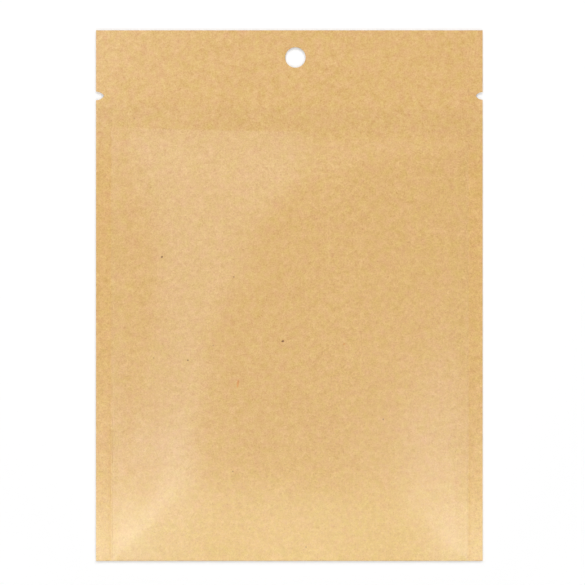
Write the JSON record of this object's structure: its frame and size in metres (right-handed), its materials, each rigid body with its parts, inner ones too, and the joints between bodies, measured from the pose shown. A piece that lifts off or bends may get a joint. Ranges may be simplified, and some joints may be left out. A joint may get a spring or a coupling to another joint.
{
  "type": "flat paper pouch",
  "caption": "Flat sealed pouch of brown paper with a bottom fold, side seals and a deep flat header, which has a round hang hole and a tear notch at each side.",
  "frame": {"origin": "Under the middle of the pouch, on the plane that its back panel lies on", "axes": "+X across the pouch to the right, seen from the front; +Y up the pouch to the header and its hang hole; +Z out of the front panel"},
  "size_m": [0.12, 0.1648, 0.0024],
  "materials": {
    "brown_paper": "matte unbleached paper with fine fibres, a faint sheen where it is pressed or curved"
  },
  "bodies": {
    "root": {"paper_pouch": "brown_paper"}
  },
  "joints": []
}
